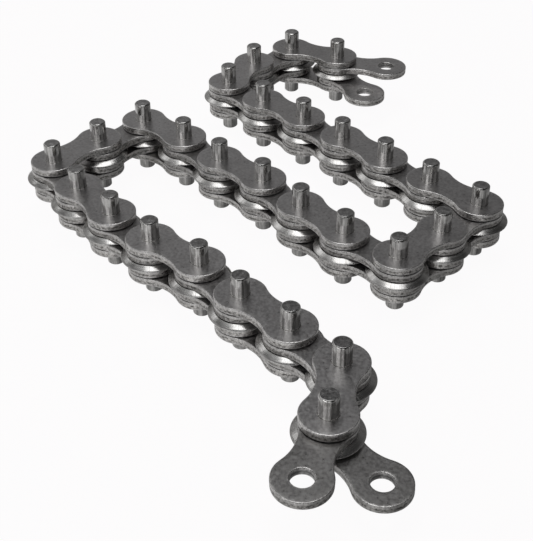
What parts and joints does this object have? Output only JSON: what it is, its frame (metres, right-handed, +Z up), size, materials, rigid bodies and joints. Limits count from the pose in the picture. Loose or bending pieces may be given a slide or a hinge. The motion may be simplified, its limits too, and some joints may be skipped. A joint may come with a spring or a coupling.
{
  "type": "roller chain",
  "caption": "Flat-laid roller chain of waisted steel plates with long pins standing proud on both sides, V-edged rollers and loose end plates.",
  "frame": {"origin": "centre of the lower end face of the middle pin, pin 15, on the plane the chain stands on", "axes": "+Z up along the pins; +X to the right and +Y away from a viewer in front of the laid-out chain"},
  "size_m": [0.2028, 0.3161, 0.0327],
  "materials": {
    "outer_link_steel": "satin, tumbled, faint oil film",
    "inner_link_steel": "satin, tumbled",
    "end_plate_steel": "satin, tumbled",
    "roller_steel": "fine turned, bright",
    "pin_steel": "ground, polished, dark end faces"
  },
  "bodies": {
    "outer_link_01": {"outer_link_01": "outer_link_steel"},
    "inner_link_01": {"inner_link_01": "inner_link_steel"},
    "outer_link_02": {"outer_link_02": "outer_link_steel"},
    "inner_link_02": {"inner_link_02": "inner_link_steel"},
    "outer_link_03": {"outer_link_03": "outer_link_steel"},
    "inner_link_03": {"inner_link_03": "inner_link_steel"},
    "outer_link_04": {"outer_link_04": "outer_link_steel"},
    "inner_link_04": {"inner_link_04": "inner_link_steel"},
    "outer_link_05": {"outer_link_05": "outer_link_steel"},
    "inner_link_05": {"inner_link_05": "inner_link_steel"},
    "outer_link_06": {"outer_link_06": "outer_link_steel"},
    "inner_link_06": {"inner_link_06": "inner_link_steel"},
    "outer_link_07": {"outer_link_07": "outer_link_steel"},
    "inner_link_07": {"inner_link_07": "inner_link_steel"},
    "outer_link_08": {"outer_link_08": "outer_link_steel"},
    "inner_link_08": {"inner_link_08": "inner_link_steel"},
    "outer_link_09": {"outer_link_09": "outer_link_steel"},
    "inner_link_09": {"inner_link_09": "inner_link_steel"},
    "outer_link_10": {"outer_link_10": "outer_link_steel"},
    "inner_link_10": {"inner_link_10": "inner_link_steel"},
    "outer_link_11": {"outer_link_11": "outer_link_steel"},
    "inner_link_11": {"inner_link_11": "inner_link_steel"},
    "outer_link_12": {"outer_link_12": "outer_link_steel"},
    "inner_link_12": {"inner_link_12": "inner_link_steel"},
    "outer_link_13": {"outer_link_13": "outer_link_steel"},
    "inner_link_13": {"inner_link_13": "inner_link_steel"},
    "outer_link_14": {"outer_link_14": "outer_link_steel"},
    "roller_01": {"roller_01": "roller_steel"},
    "roller_02": {"roller_02": "roller_steel"},
    "roller_03": {"roller_03": "roller_steel"},
    "roller_04": {"roller_04": "roller_steel"},
    "roller_05": {"roller_05": "roller_steel"},
    "roller_06": {"roller_06": "roller_steel"},
    "roller_07": {"roller_07": "roller_steel"},
    "roller_08": {"roller_08": "roller_steel"},
    "roller_09": {"roller_09": "roller_steel"},
    "roller_10": {"roller_10": "roller_steel"},
    "roller_11": {"roller_11": "roller_steel"},
    "roller_12": {"roller_12": "roller_steel"},
    "roller_13": {"roller_13": "roller_steel"},
    "roller_14": {"roller_14": "roller_steel"},
    "roller_15": {"roller_15": "roller_steel"},
    "roller_16": {"roller_16": "roller_steel"},
    "roller_17": {"roller_17": "roller_steel"},
    "roller_18": {"roller_18": "roller_steel"},
    "roller_19": {"roller_19": "roller_steel"},
    "roller_20": {"roller_20": "roller_steel"},
    "roller_21": {"roller_21": "roller_steel"},
    "roller_22": {"roller_22": "roller_steel"},
    "roller_23": {"roller_23": "roller_steel"},
    "roller_24": {"roller_24": "roller_steel"},
    "roller_25": {"roller_25": "roller_steel"},
    "roller_26": {"roller_26": "roller_steel"},
    "roller_27": {"roller_27": "roller_steel"},
    "roller_28": {"roller_28": "roller_steel"},
    "end_plate_back_upper": {"end_plate_back_upper": "end_plate_steel"},
    "end_plate_back_lower": {"end_plate_back_lower": "end_plate_steel"},
    "end_plate_front_upper": {"end_plate_front_upper": "end_plate_steel"},
    "end_plate_front_lower": {"end_plate_front_lower": "end_plate_steel"}
  },
  "joints": [
    {"name": "link_hinge_16", "type": "hinge", "parent": "outer_link_08", "child": "inner_link_08", "pos_m": [-0.01858, 0.01732, 0.01635], "axis": [0, 0, -1], "range_deg": [-16, 33]},
    {"name": "link_hinge_17", "type": "hinge", "parent": "inner_link_08", "child": "outer_link_09", "pos_m": [-0.03524, 0.03649, 0.01635], "axis": [0, 0, 1], "range_deg": [-82, 12]},
    {"name": "link_hinge_18", "type": "hinge", "parent": "outer_link_09", "child": "inner_link_09", "pos_m": [-0.0547, 0.05282, 0.01635], "axis": [0, 0, -1], "range_deg": [-8, 149]},
    {"name": "link_hinge_19", "type": "hinge", "parent": "inner_link_09", "child": "outer_link_10", "pos_m": [-0.07327, 0.0355, 0.01635], "axis": [0, 0, 1], "range_deg": [-119, 9]},
    {"name": "link_hinge_20", "type": "hinge", "parent": "outer_link_10", "child": "inner_link_10", "pos_m": [-0.0906, 0.01692, 0.01635], "axis": [0, 0, -1], "range_deg": [-9, 143]},
    {"name": "link_hinge_21", "type": "hinge", "parent": "inner_link_10", "child": "outer_link_11", "pos_m": [-0.07714, -0.00462, 0.01635], "axis": [0, 0, 1], "range_deg": [-122, 12]},
    {"name": "link_hinge_22", "type": "hinge", "parent": "outer_link_11", "child": "inner_link_11", "pos_m": [-0.06115, -0.02436, 0.01635], "axis": [0, 0, -1], "range_deg": [-16, 83]},
    {"name": "link_hinge_23", "type": "hinge", "parent": "inner_link_11", "child": "outer_link_12", "pos_m": [-0.04383, -0.04294, 0.01635], "axis": [0, 0, 1], "range_deg": [-91, 21]},
    {"name": "link_hinge_24", "type": "hinge", "parent": "outer_link_12", "child": "inner_link_12", "pos_m": [-0.02409, -0.05892, 0.01635], "axis": [0, 0, -1], "range_deg": [-28, 102]},
    {"name": "link_hinge_25", "type": "hinge", "parent": "inner_link_12", "child": "outer_link_13", "pos_m": [-0.00845, -0.07894, 0.01635], "axis": [0, 0, 1], "range_deg": [-121, 40]},
    {"name": "link_hinge_26", "type": "hinge", "parent": "outer_link_13", "child": "inner_link_13", "pos_m": [0.00919, -0.09721, 0.01635], "axis": [0, 0, -1], "range_deg": [-90, 112]},
    {"name": "link_hinge_27", "type": "hinge", "parent": "inner_link_13", "child": "outer_link_14", "pos_m": [0.02586, -0.11638, 0.01635], "axis": [0, 0, 1], "range_deg": [-61, 133]},
    {"name": "link_hinge_15", "type": "hinge", "parent": "outer_link_08", "child": "inner_link_07", "pos_m": [0, 0, 0.01635], "axis": [0, 0, 1], "range_deg": [-25, 19]},
    {"name": "link_hinge_14", "type": "hinge", "parent": "inner_link_07", "child": "outer_link_07", "pos_m": [0.01529, -0.02029, 0.01635], "axis": [0, 0, 1], "range_deg": [-41, 13]},
    {"name": "link_hinge_13", "type": "hinge", "parent": "outer_link_07", "child": "inner_link_06", "pos_m": [0.03195, -0.03945, 0.01635], "axis": [0, 0, -1], "range_deg": [-10, 95]},
    {"name": "link_hinge_12", "type": "hinge", "parent": "inner_link_06", "child": "outer_link_06", "pos_m": [0.05112, -0.05612, 0.01635], "axis": [0, 0, -1], "range_deg": [-7, 132]},
    {"name": "link_hinge_11", "type": "hinge", "parent": "outer_link_06", "child": "inner_link_05", "pos_m": [0.07, -0.03912, 0.01635], "axis": [0, 0, 1], "range_deg": [-119, 7]},
    {"name": "link_hinge_10", "type": "hinge", "parent": "inner_link_05", "child": "outer_link_05", "pos_m": [0.08764, -0.02085, 0.01635], "axis": [0, 0, 1], "range_deg": [-118, 7]},
    {"name": "link_hinge_09", "type": "hinge", "parent": "outer_link_05", "child": "inner_link_04", "pos_m": [0.07, -0.00258, 0.01635], "axis": [0, 0, -1], "range_deg": [-10, 113]},
    {"name": "link_hinge_08", "type": "hinge", "parent": "inner_link_04", "child": "outer_link_04", "pos_m": [0.053, 0.0163, 0.01635], "axis": [0, 0, 1], "range_deg": [-104, 13]},
    {"name": "link_hinge_07", "type": "hinge", "parent": "outer_link_04", "child": "inner_link_03", "pos_m": [0.03568, 0.03487, 0.01635], "axis": [0, 0, -1], "range_deg": [-19, 99]},
    {"name": "link_hinge_06", "type": "hinge", "parent": "inner_link_03", "child": "outer_link_03", "pos_m": [0.01901, 0.05404, 0.01635], "axis": [0, 0, 1], "range_deg": [-73, 33]},
    {"name": "link_hinge_05", "type": "hinge", "parent": "outer_link_03", "child": "inner_link_02", "pos_m": [0.00044, 0.07136, 0.01635], "axis": [0, 0, -1], "range_deg": [-77, 47]},
    {"name": "link_hinge_04", "type": "hinge", "parent": "inner_link_02", "child": "outer_link_02", "pos_m": [-0.01623, 0.09053, 0.01635], "axis": [0, 0, -1], "range_deg": [-142, 30]},
    {"name": "link_hinge_03", "type": "hinge", "parent": "outer_link_02", "child": "inner_link_01", "pos_m": [-0.00391, 0.11275, 0.01635], "axis": [0, 0, 1], "range_deg": [-29, 136]},
    {"name": "link_hinge_02", "type": "hinge", "parent": "inner_link_01", "child": "outer_link_01", "pos_m": [0.01554, 0.12908, 0.01635], "axis": [0, 0, -1], "range_deg": [-150, 39]},
    {"name": "end_plate_back_upper_hinge", "type": "hinge", "parent": "outer_link_01", "child": "end_plate_back_upper", "pos_m": [0.03837, 0.11794, 0.01635], "axis": [0, 0, 1], "range_deg": [-112, 105]},
    {"name": "end_plate_back_lower_hinge", "type": "hinge", "parent": "outer_link_01", "child": "end_plate_back_lower", "pos_m": [0.03837, 0.11794, 0.01635], "axis": [0, 0, 1], "range_deg": [-82, 132]},
    {"name": "end_plate_front_upper_hinge", "type": "hinge", "parent": "outer_link_14", "child": "end_plate_front_upper", "pos_m": [0.02014, -0.14113, 0.01635], "axis": [0, 0, -1], "range_deg": [-106, 112]},
    {"name": "end_plate_front_lower_hinge", "type": "hinge", "parent": "outer_link_14", "child": "end_plate_front_lower", "pos_m": [0.02014, -0.14113, 0.01635], "axis": [0, 0, -1], "range_deg": [-51, 150]},
    {"name": "roller_01_spin", "type": "hinge", "parent": "outer_link_01", "child": "roller_01", "pos_m": [0.03837, 0.11794, 0.01635], "axis": [0, 0, 1], "continuous": true},
    {"name": "roller_02_spin", "type": "hinge", "parent": "inner_link_01", "child": "roller_02", "pos_m": [0.01554, 0.12908, 0.01635], "axis": [0, 0, 1], "continuous": true},
    {"name": "roller_03_spin", "type": "hinge", "parent": "inner_link_01", "child": "roller_03", "pos_m": [-0.00391, 0.11275, 0.01635], "axis": [0, 0, 1], "continuous": true},
    {"name": "roller_04_spin", "type": "hinge", "parent": "inner_link_02", "child": "roller_04", "pos_m": [-0.01623, 0.09053, 0.01635], "axis": [0, 0, 1], "continuous": true},
    {"name": "roller_05_spin", "type": "hinge", "parent": "inner_link_02", "child": "roller_05", "pos_m": [0.00044, 0.07136, 0.01635], "axis": [0, 0, 1], "continuous": true},
    {"name": "roller_06_spin", "type": "hinge", "parent": "inner_link_03", "child": "roller_06", "pos_m": [0.01901, 0.05404, 0.01635], "axis": [0, 0, 1], "continuous": true},
    {"name": "roller_07_spin", "type": "hinge", "parent": "inner_link_03", "child": "roller_07", "pos_m": [0.03568, 0.03487, 0.01635], "axis": [0, 0, 1], "continuous": true},
    {"name": "roller_08_spin", "type": "hinge", "parent": "inner_link_04", "child": "roller_08", "pos_m": [0.053, 0.0163, 0.01635], "axis": [0, 0, 1], "continuous": true},
    {"name": "roller_09_spin", "type": "hinge", "parent": "inner_link_04", "child": "roller_09", "pos_m": [0.07, -0.00258, 0.01635], "axis": [0, 0, 1], "continuous": true},
    {"name": "roller_10_spin", "type": "hinge", "parent": "inner_link_05", "child": "roller_10", "pos_m": [0.08764, -0.02085, 0.01635], "axis": [0, 0, 1], "continuous": true},
    {"name": "roller_11_spin", "type": "hinge", "parent": "inner_link_05", "child": "roller_11", "pos_m": [0.07, -0.03912, 0.01635], "axis": [0, 0, 1], "continuous": true},
    {"name": "roller_12_spin", "type": "hinge", "parent": "inner_link_06", "child": "roller_12", "pos_m": [0.05112, -0.05612, 0.01635], "axis": [0, 0, 1], "continuous": true},
    {"name": "roller_13_spin", "type": "hinge", "parent": "inner_link_06", "child": "roller_13", "pos_m": [0.03195, -0.03945, 0.01635], "axis": [0, 0, 1], "continuous": true},
    {"name": "roller_14_spin", "type": "hinge", "parent": "inner_link_07", "child": "roller_14", "pos_m": [0.01529, -0.02029, 0.01635], "axis": [0, 0, 1], "continuous": true},
    {"name": "roller_15_spin", "type": "hinge", "parent": "inner_link_07", "child": "roller_15", "pos_m": [0, 0, 0.01635], "axis": [0, 0, 1], "continuous": true},
    {"name": "roller_16_spin", "type": "hinge", "parent": "inner_link_08", "child": "roller_16", "pos_m": [-0.01858, 0.01732, 0.01635], "axis": [0, 0, 1], "continuous": true},
    {"name": "roller_17_spin", "type": "hinge", "parent": "inner_link_08", "child": "roller_17", "pos_m": [-0.03524, 0.03649, 0.01635], "axis": [0, 0, 1], "continuous": true},
    {"name": "roller_18_spin", "type": "hinge", "parent": "inner_link_09", "child": "roller_18", "pos_m": [-0.0547, 0.05282, 0.01635], "axis": [0, 0, 1], "continuous": true},
    {"name": "roller_19_spin", "type": "hinge", "parent": "inner_link_09", "child": "roller_19", "pos_m": [-0.07327, 0.0355, 0.01635], "axis": [0, 0, 1], "continuous": true},
    {"name": "roller_20_spin", "type": "hinge", "parent": "inner_link_10", "child": "roller_20", "pos_m": [-0.0906, 0.01692, 0.01635], "axis": [0, 0, 1], "continuous": true},
    {"name": "roller_21_spin", "type": "hinge", "parent": "inner_link_10", "child": "roller_21", "pos_m": [-0.07714, -0.00462, 0.01635], "axis": [0, 0, 1], "continuous": true},
    {"name": "roller_22_spin", "type": "hinge", "parent": "inner_link_11", "child": "roller_22", "pos_m": [-0.06115, -0.02436, 0.01635], "axis": [0, 0, 1], "continuous": true},
    {"name": "roller_23_spin", "type": "hinge", "parent": "inner_link_11", "child": "roller_23", "pos_m": [-0.04383, -0.04294, 0.01635], "axis": [0, 0, 1], "continuous": true},
    {"name": "roller_24_spin", "type": "hinge", "parent": "inner_link_12", "child": "roller_24", "pos_m": [-0.02409, -0.05892, 0.01635], "axis": [0, 0, 1], "continuous": true},
    {"name": "roller_25_spin", "type": "hinge", "parent": "inner_link_12", "child": "roller_25", "pos_m": [-0.00845, -0.07894, 0.01635], "axis": [0, 0, 1], "continuous": true},
    {"name": "roller_26_spin", "type": "hinge", "parent": "inner_link_13", "child": "roller_26", "pos_m": [0.00919, -0.09721, 0.01635], "axis": [0, 0, 1], "continuous": true},
    {"name": "roller_27_spin", "type": "hinge", "parent": "inner_link_13", "child": "roller_27", "pos_m": [0.02586, -0.11638, 0.01635], "axis": [0, 0, 1], "continuous": true},
    {"name": "roller_28_spin", "type": "hinge", "parent": "outer_link_14", "child": "roller_28", "pos_m": [0.02014, -0.14113, 0.01635], "axis": [0, 0, 1], "continuous": true}
  ]
}
